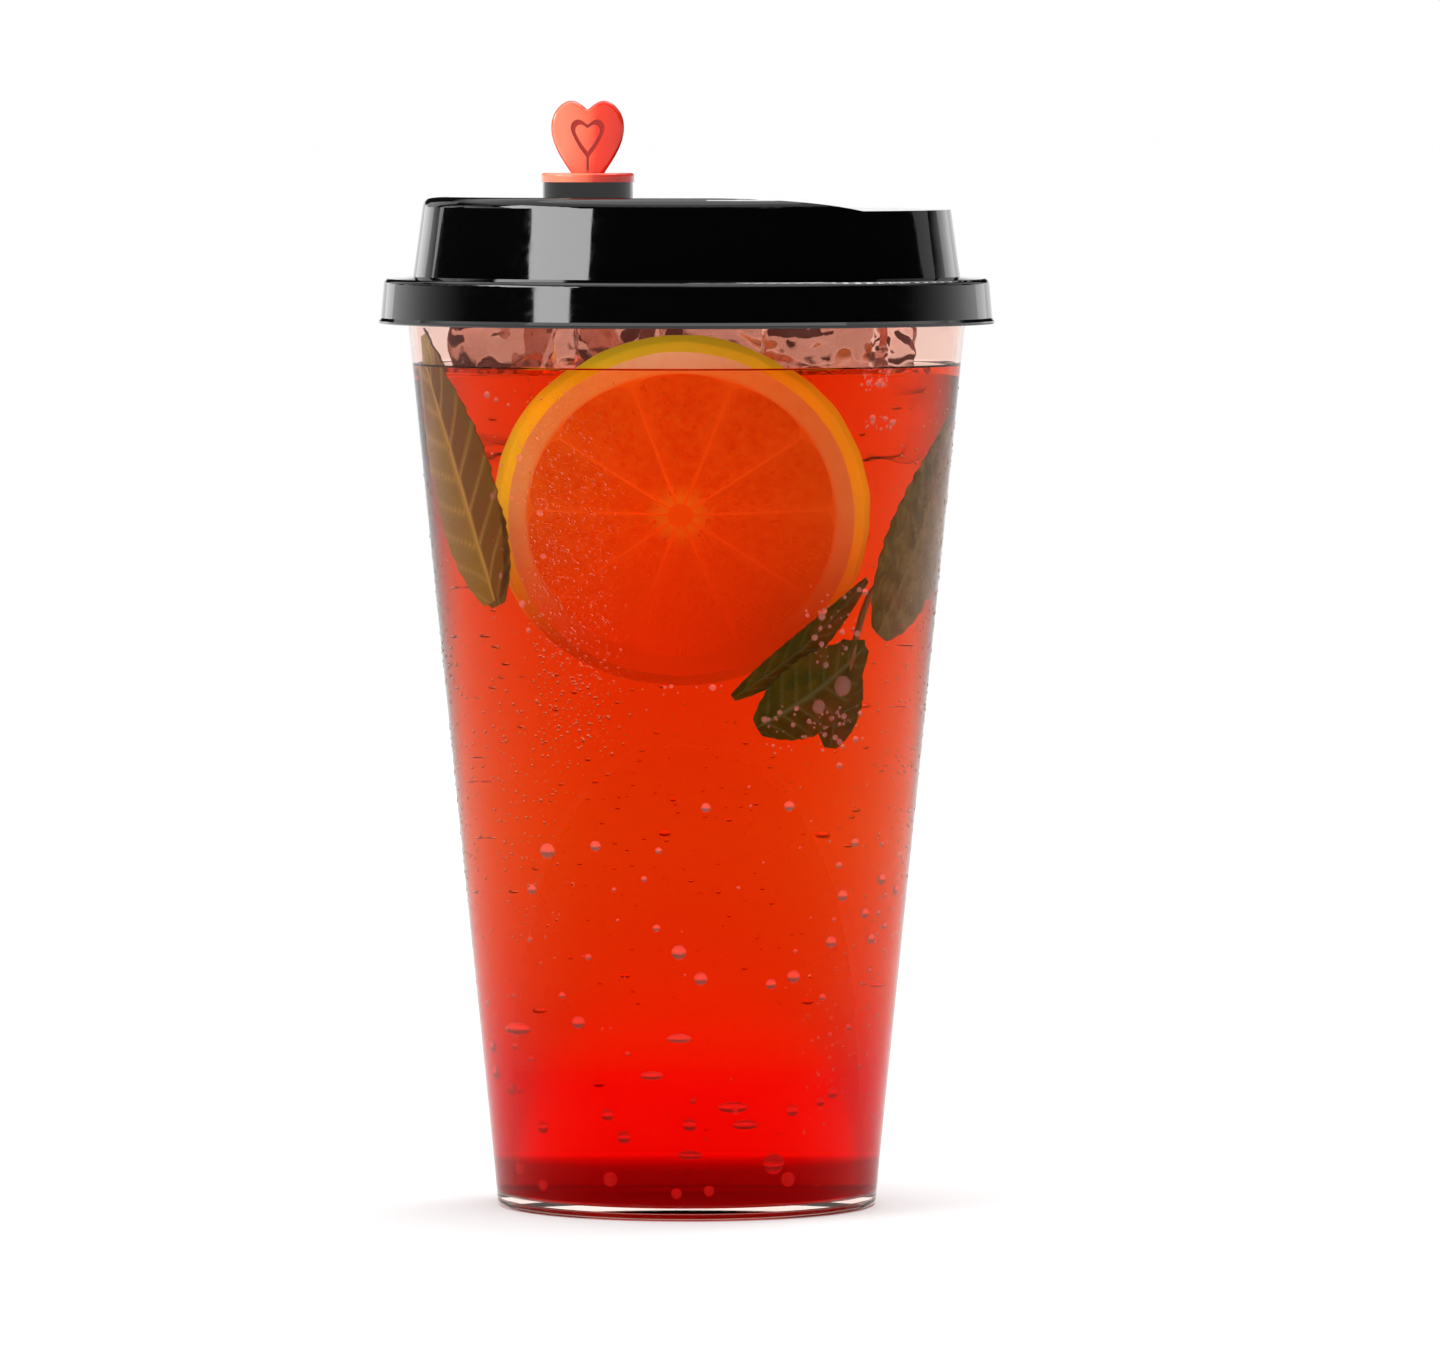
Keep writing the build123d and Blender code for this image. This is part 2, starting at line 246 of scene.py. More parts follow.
def lathe(outline, segments=192, loop=False):
    # turns an outline round the axis; ends that lie on the axis become poles
    bm = bmesh.new()
    rings = []
    for radius, height in braced(outline, loop):
        if radius < 1e-7:
            rings.append([bm.verts.new((0, 0, height))])
            continue
        rings.append([
            bm.verts.new((radius * math.cos(a), radius * math.sin(a), height))
            for a in (math.tau * k / segments for k in range(segments))
        ])
    pairs = list(zip(rings, rings[1:]))
    if loop:
        pairs.append((rings[-1], rings[0]))
    for low, high in pairs:
        for k in range(segments):
            n = (k + 1) % segments
            corners = [low[k % len(low)], low[n % len(low)], high[n % len(high)], high[k % len(high)]]
            corners = [v for i, v in enumerate(corners) if v not in corners[:i]]
            if len(corners) > 2:
                bm.faces.new(corners)
    bmesh.ops.recalc_face_normals(bm, faces=bm.faces)
    return bm


def pad(bm, near, far, across, along, marks=None):
    # a closed shell between two sheets; each sheet and mark is a function of (u, v) in 0 to 1
    layers = {name: bm.verts.layers.float.get(name) or bm.verts.layers.float.new(name)
              for name in (marks or {})}
    sheets = []
    for sheet in (near, far):
        rows = []
        for j in range(along + 1):
            row = []
            for i in range(across + 1):
                u, v = i / across, j / along
                vert = bm.verts.new(sheet(u, v))
                for name, mark in (marks or {}).items():
                    vert[layers[name]] = mark(u, v)
                row.append(vert)
            rows.append(row)
        sheets.append(rows)
    made = []
    for side, rows in enumerate(sheets):
        for j in range(along):
            for i in range(across):
                corners = [rows[j][i], rows[j][i + 1], rows[j + 1][i + 1], rows[j + 1][i]]
                made.append(bm.faces.new(corners if side == 0 else corners[::-1]))
    edge = [(0, i) for i in range(across)] + [(j, across) for j in range(along)]
    edge += [(along, i) for i in range(across, 0, -1)] + [(j, 0) for j in range(along, 0, -1)]
    for (j, i), (m, n) in zip(edge, edge[1:] + edge[:1]):
        made.append(bm.faces.new(
            (sheets[0][m][n], sheets[0][j][i], sheets[1][j][i], sheets[1][m][n])))
    bmesh.ops.recalc_face_normals(bm, faces=made)
    return bm


# scattering, for bubbles, dew and pulp

def scatterTree(name, facets, onFaces=True, towardCentre=False):
    # drops on the faces or at the points of a mesh, in sizes that vary, joined into one mesh
    group = bpy.data.node_groups.new(name, "GeometryNodeTree")
    g = Graph(group)
    sockets = [("Geometry", "NodeSocketGeometry"), ("Density", "NodeSocketFloat"),
               ("Smallest", "NodeSocketFloat"), ("Largest", "NodeSocketFloat"),
               ("Shape", "NodeSocketVector"), ("Centre", "NodeSocketVector"),
               ("Seed", "NodeSocketInt"), ("Material", "NodeSocketMaterial")]
    keys = {label: group.interface.new_socket(label, in_out="INPUT", socket_type=kind).identifier
            for label, kind in sockets}
    group.interface.new_socket("Geometry", in_out="OUTPUT", socket_type="NodeSocketGeometry")
    entry = group.nodes.new("NodeGroupInput")
    given = {label: Val(g, entry.outputs[i]) for i, (label, kind) in enumerate(sockets)}
    amount = g.node("GeometryNodeInputNamedAttribute", {"data_type": "FLOAT"}, {"Name": "amount"})
    drop = g.node("GeometryNodeMeshIcoSphere", {}, {"Radius": 1.0, "Subdivisions": facets})
    if onFaces:
        spread = group.nodes.new("GeometryNodeDistributePointsOnFaces")
        g.put(spread.inputs["Mesh"], given["Geometry"])
        g.put(spread.inputs["Density"], amount * given["Density"])
        g.put(spread.inputs["Seed"], given["Seed"])
        points, turn = Val(g, spread.outputs["Points"]), Val(g, spread.outputs["Rotation"])
        chance = g.node("FunctionNodeRandomValue", {"data_type": "FLOAT"},
                        {2: 0.0, 3: 1.0, "Seed": given["Seed"]}, out=1)
        size = given["Smallest"] + (given["Largest"] - given["Smallest"]) * chance.math("POWER", 2.5)
    else:
        points, turn, size = given["Geometry"], None, amount
    if towardCentre:
        spot = g.node("GeometryNodeInputPosition")
        ray = g.node("ShaderNodeVectorMath", {"operation": "SUBTRACT"}, {0: spot, 1: given["Centre"]})
        turn = g.node("FunctionNodeAlignRotationToVector", {"axis": "X"}, {"Rotation": turn, "Vector": ray})
    shape = g.node("ShaderNodeVectorMath", {"operation": "SCALE"}, {0: given["Shape"], "Scale": size})
    values = {"Points": points, "Instance": drop, "Scale": shape}
    if turn is not None:
        values["Rotation"] = turn
    drops = g.node("GeometryNodeInstanceOnPoints", {}, values)
    joined = g.node("GeometryNodeRealizeInstances", {}, {0: drops})
    smooth = g.node("GeometryNodeSetShadeSmooth", {}, {"Geometry": joined})
    last = g.node("GeometryNodeSetMaterial", {}, {"Geometry": smooth, "Material": given["Material"]})
    leave = group.nodes.new("NodeGroupOutput")
    g.put(leave.inputs[0], last)
    return group, keys


def scatter(name, source, tree, material, **inputs):
    group, keys = tree
    host = newPiece(name + "Source", source, material, smooth=False)
    modifier = host.modifiers.new("scatter", "NODES")
    modifier.node_group = group
    for label, value in {"Material": material.material, **inputs}.items():
        modifier[keys[label]] = value
    scene.view_layers[0].update()
    baked = bpy.data.meshes.new_from_object(host.evaluated_get(bpy.context.evaluated_depsgraph_get()))
    host.modifiers.remove(modifier)
    bpy.data.objects.remove(host)
    baked.name = name
    piece = bpy.data.objects.new(name, baked)
    scene.collection.objects.link(piece)
    print(name, len(baked.polygons), "faces")
    return piece


def patches(radiusAt, areas, step=2.0):
    # parts of a round wall as (azimuth from, to, height from, to, amount); each fades at its edges
    bm = bmesh.new()
    layer = bm.verts.layers.float.new("amount")
    upward = 12
    for start, end, low, high, amount in areas:
        across = max(2, round((end - start) / step))
        rows = []
        for j in range(upward + 1):
            height = low + (high - low) * j / upward
            radius = radiusAt(height)
            row = []
            for i in range(across + 1):
                a = math.radians(start + (end - start) * i / across)
                row.append(bm.verts.new((radius * math.cos(a), radius * math.sin(a), height)))
                inside = 1 - abs(2 * i / across - 1) ** 3
                row[-1][layer] = amount * inside * (1 - abs(2 * j / upward - 1) ** 3)
            rows.append(row)
        for lower, upper in zip(rows, rows[1:]):
            for i in range(across):
                bm.faces.new((lower[i], lower[i + 1], upper[i + 1], upper[i]))
    return bm


# cup
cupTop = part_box("cup")[1].z
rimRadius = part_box("cup")[1].x
tumbler = {
    "rimOverhang": 0.00185, "rimDepth": 0.0024, "rimRound": 0.0007, "wall": 0.0008,
    "baseRadius": 0.02895, "footRound": 0.001, "footWidth": 0.0022, "floorRise": 0.001,
    "floorThickness": 0.0009, "floorRound": 0.00045,
}
mouthRadius = rimRadius - tumbler["rimOverhang"]


def wallOutside(height):
    share = height / cupTop
    return tumbler["baseRadius"] + (mouthRadius - tumbler["baseRadius"]) * share


def wallInside(height):
    return wallOutside(height) - tumbler["wall"]


def onWall(azimuth, height, gap=0.0):
    a, radius = math.radians(azimuth), wallInside(height) - gap
    return Vector((radius * math.cos(a), radius * math.sin(a), height))


def makeCup():
    t = tumbler
    rimLow = cupTop - t["rimDepth"]
    floorTop = t["floorRise"] + t["floorThickness"]
    line = rounded([
        (0, floorTop),
        (wallInside(floorTop), floorTop, t["floorRound"]),
        (wallInside(cupTop), cupTop, 0.0003),
        (rimRadius, cupTop, t["rimRound"]),
        (rimRadius, rimLow, t["rimRound"]),
        (wallOutside(rimLow), rimLow, 0.0004),
        (t["baseRadius"], 0, t["footRound"]),
        (t["baseRadius"] - t["footWidth"], 0, 0.0003),
        (t["baseRadius"] - t["footWidth"], t["floorRise"], 0.0003),
        (0, t["floorRise"]),
    ])
    clear = Mat("cupClear", roughness=0.015, ior=1.1, transmission=1.0, tint=(0.3, 0.3, 0.3))
    wet = (clear.place("Z") / cupTop).between(0.962, 0.972)  # a film of drink up to the lid
    clear.feed(color=clear.mix(wet, (0.94, 0.76, 0.70), (0.98, 0.97, 0.97)))
    cup = newPiece("cupWall", lathe(line), clear, sharp=40)
    settle(cup, "cup", "cup_clear", "cup")
    print("cup made")


makeCup()

# drink
fill = {
    "top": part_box("drink")[1].z, "syrupTop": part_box("syrup_layer")[1].z,
    "overlap": 0.0006, "climb": 0.0003,  # how far it climbs the wall
    "clearance": 0.00004, "corner": 0.0006, "syrupOverlap": 0.0005,
}


def makeDrink():
    top, grip, climb = fill["top"], fill["overlap"], fill["climb"]
    floorTop = tumbler["floorRise"] + tumbler["floorThickness"]
    edge = wallInside(top) + grip
    # the drink stops a hair above the floor, which then mirrors as wet plastic does
    sole, corner = floorTop + fill["clearance"], fill["corner"]
    line = [(0, sole), (wallInside(sole) - 0.0005, sole),
            (wallInside(sole + corner) + grip, sole + corner)]
    line += [(wallInside(z) + grip, z) for z in (0.03, 0.06, 0.09, 0.12)]
    line += [(edge - climb * 2.2 * k / 8, top + climb * (1 - k / 8) ** 2.6) for k in range(9)]
    line += [(0.03, top), (0.015, top), (0, top)]
    red = Mat("drinkRed", roughness=0.0, ior=1.27, transmission=1.0, tint=(0.02, 0.02, 0.02))
    red.absorb((0.975, 0.62, 0.03), 120.0)
    height = red.place("Z")
    deep = red.ramp(height / 0.08, (0.10, (0.77, 0.01, 0.01)), (0.25, (0.87, 0.02, 0.02)),
                    (0.45, (0.97, 0.50, 0.46)), (0.72, (1.0, 1.0, 1.0)))
    red.feed(color=deep)
    drink = newPiece("drinkBody", lathe(line), red, sharp=50)
    settle(drink, "cup", "drink_red", "drink")
    # the syrup lies inside the drink and bends no light
    edge, bottom, level = fill["syrupOverlap"], sole + fill["clearance"], fill["syrupTop"]
    low = [(0, bottom), (wallInside(bottom) - corner, bottom),
           (wallInside(bottom + corner) + edge, bottom + corner),
           (wallInside(level) + edge, level), (0, level)]
    # painted light: the emission makes the syrup glow red
    dark = Mat("syrupRed", color=(1, 1, 1), roughness=0.0, ior=1.0, transmission=1.0,
               emission=(0.9, 0.002, 0.012), emissionStrength=0.12)
    dark.absorb((0.80, 0.08, 0.28), 150.0)
    syrup = newPiece("syrupBody", lathe(low), dark, sharp=50)
    settle(syrup, "cup", "syrup_red", "syrup_layer")
    print("drink made")


makeDrink()

# lid and stopper
stopperSpot = [(a + b) / 2 for a, b in zip(*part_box("stopper"))]
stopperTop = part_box("stopper")[1].z


def makeClosure():
    black = Mat("lidBlack", color=(0.0008, 0.0008, 0.001), roughness=0.045, ior=1.5)
    scuffs = black.noiseAt(900.0, detail=2.0)
    black.feed(roughness=scuffs.between(0.35, 0.85) * 0.05 + 0.035)
    wear("lid", black)
    red = Mat("stopperRed", ior=1.5, roughness=0.14, subsurface=0.12,
              subsurfaceRadius=(0.004, 0.0012, 0.0006), subsurfaceScale=1.0)
    # painted light and shade: paler at the left, as if lit from that side, and darker to the right, as if in
    # shade
    across = (red.place("X") - stopperSpot[0]) / 0.011 + 0.5
    cloud = red.noiseAt(260.0, detail=3.0) * 0.22 - 0.11
    glow = red.ramp(across + cloud, (0.16, (0.86, 0.23, 0.13)), (0.50, (0.84, 0.13, 0.06)),
                    (0.62, (0.78, 0.035, 0.010)), (0.95, (0.62, 0.022, 0.008)))
    # painted shade in the groove: the line round the small heart is darker than the face
    grooveShade = 1 - (red.place("Y") - stopperSpot[1]).math("ABSOLUTE").between(0.00098, 0.00122)
    handle = red.place("Z").between(stopperTop - 0.0108, stopperTop - 0.0102)
    glow = red.mix(grooveShade * handle * 0.95, glow, (0.45, 0.008, 0.003))
    # painted light: the emission makes the stopper glow a little
    red.feed(color=glow, emission=glow, emissionStrength=0.08)
    wear("stopper", red)
    print("lid and stopper finished")


makeClosure()

# citrus slice
citrus = {
    "lean": 12.0, "thickness": 0.005, "radius": (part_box("citrus_rind")[1].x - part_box("citrus_rind")[0].x) / 2,
    "rind": 0.0017, "pith": 0.0034, "core": 0.0011, "membrane": 0.0003,
    "segments": (2, 35, 70, 109, 145, 178, 217, 251, 290, 325),  # where its membranes lie, in degrees
    "pulpPerSquareMetre": 2.2e6, "coreGap": 0.0007, "bulge": 0.0003,
}


def citrusFrame():
    lo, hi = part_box("citrus_rind")
    lean = math.radians(citrus["lean"])
    out = Vector((0, -math.cos(lean), -math.sin(lean)))
    side = Vector((1, 0, 0))
    turned = Matrix((side, out.cross(side), out)).transposed().to_4x4()
    return Matrix.Translation((Vector(lo) + Vector(hi)) / 2) @ turned


def makeCitrus():
    stand = citrusFrame()
    middle = stand.translation

    def paintShadeAndGlow(mat, tone, strength, deep=(0.90, 0.12, 0.006)):
        # painted shade: lower down and to the right it is darker, as if seen through more drink; its glow is
        # painted light, standing in for light from the drink
        low = (mat.place("Z") - (middle.z - 0.021)) / 0.026
        right = (mat.place("X") - middle.x) / 0.027
        paintedShadeTone = mat.mix(low.between(0.0, 1.0), deep, tone)
        paintedShadeTone = mat.mix(right.between(-0.3, 1.0) * 0.5, paintedShadeTone, (0.62, 0.10, 0.003))
        mat.feed(color=paintedShadeTone, emission=paintedShadeTone, emissionStrength=strength, specular=0.05)

    half, whole = citrus["thickness"] / 2, citrus["radius"]
    inRind = whole - citrus["rind"]
    inPith = inRind - citrus["pith"]
    ring = rounded([
        (inRind - 0.0004, -half), (whole - 0.0005, -half, 0.0004), (whole, 0, 0.004),
        (whole - 0.0005, half, 0.0004), (inRind - 0.0004, half)])
    bm = lathe(ring, segments=160, loop=True)
    for vert in bm.verts:
        vert.co += vert.co.normalized() * 0.00022 * noise.noise(vert.co * 260)
    bm.transform(stand)
    skin = Mat("citrusRindSkin", roughness=0.42)
    yellow = skin.ramp(skin.noiseAt(140.0, detail=4.0), (0.3, (0.98, 0.66, 0.02)), (0.7, (0.80, 0.66, 0.03)))
    crown = ((skin.place("Z") - middle.z) / 0.027).between(0.55, 0.95)
    paintShadeAndGlow(skin, skin.mix(crown * 0.8, yellow, (0.42, 0.30, 0.012)), 0.62, (0.50, 0.06, 0.003))
    skin.bump(skin.noiseAt(1500.0, detail=2.0), strength=0.25, distance=0.0003)
    settle(newPiece("citrusRind", bm, skin, sharp=50), "cup", "citrus_rind_skin", "citrus_rind")

    disc = rounded([
        (0, -half + 0.0001), (inPith - 0.0006, -half + 0.0001), (inPith + 0.0008, -half - 0.00005),
        (inRind - 0.0002, -half, 0.0002), (inRind - 0.0002, half, 0.0002),
        (inPith + 0.0008, half + 0.00005), (inPith - 0.0006, half - 0.0001), (0, half - 0.0001)])
    bm = lathe(disc, segments=160)
    spread = bm.verts.layers.float.new("pith")
    for vert in bm.verts:
        vert[spread] = 1.0 if vert.co.xy.length > inPith else 0.0
    bm.transform(stand)
    pithMat = Mat("citrusPith", roughness=0.6)
    fibre = pithMat.noiseAt(420.0, detail=5.0, roughness=0.65)
    pale = pithMat.ramp(fibre, (0.3, (0.96, 0.50, 0.28)), (0.72, (0.97, 0.62, 0.38)))
    inward = pithMat.attribute("pith").between(0.2, 0.9)
    paintShadeAndGlow(pithMat, pithMat.mix(inward, (0.96, 0.25, 0.02), pale), 0.36, (0.78, 0.10, 0.005))
    pithMat.bump(fibre, strength=0.3, distance=0.0003)
    settle(newPiece("citrusPith", bm, pithMat, sharp=50), "cup", "citrus_pith_white", "citrus_pith")

    angles = sorted(math.radians(a % 360) for a in citrus["segments"])
    bm = bmesh.new()
    faces = bmesh.new()
    amount = faces.verts.layers.float.new("amount")
    for k, start in enumerate(angles):
        end = angles[(k + 1) % len(angles)] + (math.tau if k == len(angles) - 1 else 0)

        def sheet(front, lift=0.0):
            def spot(u, v):
                r = citrus["core"] + citrus["coreGap"] + (inPith - citrus["core"] - citrus["coreGap"]) * v
                r -= 0.0011 * v * abs(2 * u - 1) ** 5
                gap = citrus["membrane"] / 2 / r
                a = start + gap + (end - start - 2 * gap) * u
                plump = (1 - abs(2 * u - 1) ** 4) * (1 - abs(2 * v - 1) ** 6)
                rise = half + citrus["bulge"] * plump + lift
                rise += 0.00007 * noise.noise((r * 900, a * 40, k))
                return stand @ Vector((r * math.cos(a), r * math.sin(a), rise if front else -rise))
            return spot

        marks = {"edge": lambda u, v: abs(2 * u - 1) ** 3, "reach": lambda u, v: v}
        pad(bm, sheet(True), sheet(False), 12, 18, marks)
        for front in (True, False):
            spot = sheet(front, -0.00012)
            grid = [[faces.verts.new(spot(0.04 + 0.92 * i / 6, 0.08 + 0.88 * j / 8))
                     for i in range(7)] for j in range(9)]
            for row in grid:
                for vert in row:
                    vert[amount] = 1.0
            for j in range(8):
                for i in range(6):
                    faces.faces.new((grid[j][i], grid[j][i + 1], grid[j + 1][i + 1], grid[j + 1][i]))
    bmesh.ops.recalc_face_normals(faces, faces=faces.faces)
    flesh = Mat("citrusFlesh", roughness=0.3)
    cells = flesh.noiseAt(700.0, detail=3.0)
    pulp = flesh.ramp(cells, (0.25, (0.86, 0.13, 0.004)), (0.75, (0.97, 0.24, 0.015)))
    edged = flesh.mix(flesh.attribute("edge") * 0.45, pulp, (0.99, 0.28, 0.03))
    inner = flesh.mix(flesh.attribute("reach").between(0.0, 0.2), (1.0, 0.46, 0.06), edged)
    paintShadeAndGlow(flesh, inner, 0.30)
    settle(newPiece("citrusFlesh", bm, flesh, sharp=60), "cup", "citrus_flesh_red", "citrus_flesh")

    juice = Mat("citrusPulp", roughness=0.22)
    tone = juice.ramp(juice.noiseAt(380.0), (0.3, (0.88, 0.14, 0.004)), (0.7, (0.98, 0.27, 0.02)))
    paintShadeAndGlow(juice, tone, 0.30)
    pulpPiece = scatter(
        "citrusPulpCells", faces, scatterTree("pulpTree", 1, towardCentre=True), juice,
        Density=citrus["pulpPerSquareMetre"], Smallest=0.00022, Largest=0.00042,
        Shape=(2.6, 0.75, 0.42), Centre=tuple(stand.translation), Seed=4)
    settle(pulpPiece, "cup", "citrus_flesh_red")
    print("citrus made")


makeCitrus()

# ice
iceLook = {
    "wobble": 0.0016, "seam": 0.0003, "cuts": 26,
    "rise": 0.0055,  # how far it stands above its node
    "shrink": 0.02, "melt": 0.0006, "fine": 0.00012, "squareness": 8,
}


def block(lo, hi, seed, cutHigh=None, cutLow=None):
    # a melted block between two corners, closed off flat at a height
    bm = bmesh.new()
    bmesh.ops.create_cube(bm, size=2.0)
    bmesh.ops.subdivide_edges(bm, edges=bm.edges[:], cuts=iceLook["cuts"], use_grid_fill=True)
    middle, reach = (lo + hi) / 2, (hi - lo) / 2
    for vert in bm.verts:
        x, y, z = vert.co
        near = sum(abs(c) ** iceLook["squareness"] for c in (x, y, z)) ** (1 / iceLook["squareness"])
        spot = Vector((x * reach.x, y * reach.y, z * reach.z)) / max(near, 1e-6)
        dent = noise.fractal(spot * 130 + Vector((seed * 7.1, 0, 0)), 0.8, 2.0, 3)
        fine = noise.noise(spot * 620 + Vector((0, seed * 3.3, 0)))
        spot *= 1 - iceLook["shrink"]
        swell = iceLook["wobble"] * dent - iceLook["melt"] + iceLook["fine"] * fine
        vert.co = middle + spot + spot.normalized() * swell
    for height, keepBelow in ((cutHigh, True), (cutLow, False)):
        if height is None:
            continue
        cut = bmesh.ops.bisect_plane(
            bm, geom=bm.verts[:] + bm.edges[:] + bm.faces[:], plane_co=(0, 0, height),
            plane_no=(0, 0, 1), clear_outer=keepBelow, clear_inner=not keepBelow)
        rim = [e for e in cut["geom_cut"] if isinstance(e, bmesh.types.BMEdge)]
        bmesh.ops.holes_fill(bm, edges=rim, sides=0)
    bmesh.ops.recalc_face_normals(bm, faces=bm.faces)
    return bm


def makeIce():
    # painted light: the emission makes the ice above the drink glow pink, as light from the drink
    above = Mat("iceAbove", color=(1.0, 0.93, 0.90), roughness=0.03, ior=1.29, transmission=1.0,
                emission=(1.0, 0.36, 0.30), emissionStrength=0.05)
    above.absorb((0.58, 0.30, 0.20), 120.0)
    below = Mat("iceBelow", color=(1.0, 0.99, 0.98), roughness=0.0, ior=1.002, transmission=1.0,
                tint=(0.3, 0.3, 0.3))
    for k, node in enumerate(sorted(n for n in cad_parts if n.startswith("ice"))):
        lo, hi = (Vector(corner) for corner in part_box(node))
        hi.z += iceLook["rise"]
        name = pieceName(node)
        surface = fill["top"] - 2 * iceLook["seam"]
        top = newPiece(name + "Above", block(lo, hi, k, cutLow=surface), above, sharp=60)
        settle(top, "cup", "ice_clear", node)
        under = fill["top"] - 3 * iceLook["seam"]
        low = newPiece(name + "Below", block(lo, hi, k, cutHigh=under), below, sharp=60)
        settle(low, "cup", "ice_clear")
    print("ice made")


makeIce()

# mint
mint = {
    # (azimuth, depth of its middle under the drink, length, width, lean, gap to the wall, fold, tone)
    "mint_leaf_left": (205, 0.0150, 0.0440, 0.0210, 24, 0.0004, 0.0011, 0),
    "mint_leaf_left_low": (212, 0.0230, 0.0270, 0.0150, 20, 0.0017, 0.0008, 1),
    "mint_leaf_right": (-23, 0.0243, 0.0370, 0.0215, -31, 0.0004, 0.0011, 2),
    "mint_leaf_right_edge": (-7, 0.0220, 0.0270, 0.0150, -12, 0.0017, 0.0006, 2),
    "mint_leaf_narrow": (-60, 0.0405, 0.0290, 0.0055, -53, 0.0015, 0.0004, 3),
    "mint_leaf_low": (-57, 0.0478, 0.0225, 0.0135, -58, 0.0004, 0.0007, 3),
    "mint_leaf_low_tip": (-49, 0.0490, 0.0165, 0.0105, -6, 0.0016, 0.0006, 3),
}
leafLook = {
    "across": 32, "along": 64, "teeth": 13, "toothSize": 0.07, "veins": 6, "veinWidth": 0.10,
    "relief": 0.00016, "thickness": 0.00032,
    # face and shaded side of the leaf for each tone: painted light and shade on the two halves of a leaf folded
    # along its midrib
    "tones": (
        ((0.41, 0.30, 0.02), (0.20, 0.08, 0.002)), ((0.27, 0.21, 0.04), (0.26, 0.12, 0.008)),
        ((0.13, 0.10, 0.002), (0.27, 0.21, 0.08)), ((0.06, 0.075, 0.002), (0.11, 0.06, 0.002)),
    ),
}


def leafMaterial(tone, face, shade):
    leaf = Mat("mintTone" + "ABCD"[tone], roughness=0.45)
    mottle = leaf.noiseAt(330.0, detail=5.0, roughness=0.6)
    # painted light and shade: one half of the leaf lit, the other shaded
    foldLightAndShade = leaf.mix(leaf.attribute("side"), face, shade)
    dark = leaf.mix(mottle.between(0.35, 0.7), [c * 0.62 for c in face], [min(1, c * 1.45) for c in shade])
    skin = leaf.mix(0.45, foldLightAndShade, dark)
    veined = leaf.mix(leaf.attribute("vein"), skin, [min(1.0, c * 1.5 + 0.07) for c in face])
    blotch = leaf.noiseAt(90.0, detail=2.0).between(0.55, 0.75)
    final = leaf.mix(blotch * 0.5, veined, (0.21, 0.055, 0.008))
    # painted light: the emission makes the leaf glow a little
    leaf.feed(color=final, emission=final, emissionStrength=0.10, specular=0.05)
    leaf.bump(leaf.noiseAt(1300.0, detail=3.0), strength=0.35, distance=0.0004)
    return leaf


def makeMint():
    materials = [leafMaterial(i, *tone) for i, tone in enumerate(leafLook["tones"])]
    for node, (azimuth, depth, length, width, lean, gap, fold, tone) in mint.items():
        turn = math.radians(lean)
        seed = length * 3000

        def ribs(u, v):
            # how strongly a vein shows at (u, v)
            s = abs(2 * u - 1)
            mid = max(0.0, 1 - s / leafLook["veinWidth"])
            phase = (v * leafLook["veins"] * 1.35 - s * 1.1) % 1.0
            return max(mid, 0.75 * max(0.0, 1 - abs(phase - 0.5) / 0.11) * (1 - s * 0.5))

        def outline(u, v):
            belly = math.sin(math.pi * min(1.0, v * 0.93 + 0.035)) ** 0.72 * (1.06 - 0.28 * v)
            tooth = (v * leafLook["teeth"]) % 1.0
            return width / 2 * belly * (1 - leafLook["toothSize"] * tooth * abs(2 * u - 1) ** 6)

        def sheet(face):
            def spot(u, v):
                s = 2 * u - 1
                a = s * outline(u, v) + 0.03 * length * math.sin(math.pi * v)
                b = (v - 0.5) * length
                along = a * math.cos(turn) - b * math.sin(turn)
                height = fill["top"] - depth + a * math.sin(turn) + b * math.cos(turn)
                quilt = leafLook["relief"] * (1 - 2.2 * ribs(u, v)) * math.sin(math.pi * v)
                wave = 0.00018 * noise.noise((a * 260, b * 260, seed))
                inset = gap + fold * (1 - abs(s)) * 0.6 - quilt + wave + 0.0002
                inset += 0 if face else leafLook["thickness"]
                return onWall(azimuth + math.degrees(along / wallInside(height)), height, max(0.0001, inset))
            return spot

        marks = {"vein": ribs, "side": lambda u, v: 1.0 if u > 0.5 else 0.0}
        shell = pad(bmesh.new(), sheet(True), sheet(False), leafLook["across"], leafLook["along"], marks)
        leaf = newPiece(pieceName(node), shell, materials[tone], sharp=60)
        settle(leaf, "cup", "mint_green", node)
    print("mint made")


def tube(points, radii, sides=14):
    bm = bmesh.new()
    rings = []
    for k, (point, radius) in enumerate(zip(points, radii)):
        ahead = (points[min(k + 1, len(points) - 1)] - points[max(k - 1, 0)]).normalized()
        side = ahead.cross(Vector((0.3, 1, 0))).normalized()
        other = ahead.cross(side)
        rings.append([bm.verts.new(point + radius * (side * math.cos(a) + other * math.sin(a)))
                      for a in (math.tau * i / sides for i in range(sides))])
    for low, high in zip(rings, rings[1:]):
        for i in range(sides):
            bm.faces.new((low[i], low[(i + 1) % sides], high[(i + 1) % sides], high[i]))
    bm.faces.new(rings[0][::-1])
    bm.faces.new(rings[-1])
    bmesh.ops.recalc_face_normals(bm, faces=bm.faces)
    return bm


stemLook = {
    # (azimuth, height, radius) along it
    "course": (
        (-33, 0.0995, 0.0003), (-38, 0.0972, 0.0005), (-42, 0.0945, 0.00058), (-44, 0.0915, 0.0006),
        (-45.5, 0.088, 0.00056), (-46.5, 0.0845, 0.0005), (-48, 0.0805, 0.00035),
    ),
    "gap": 0.0012,
}


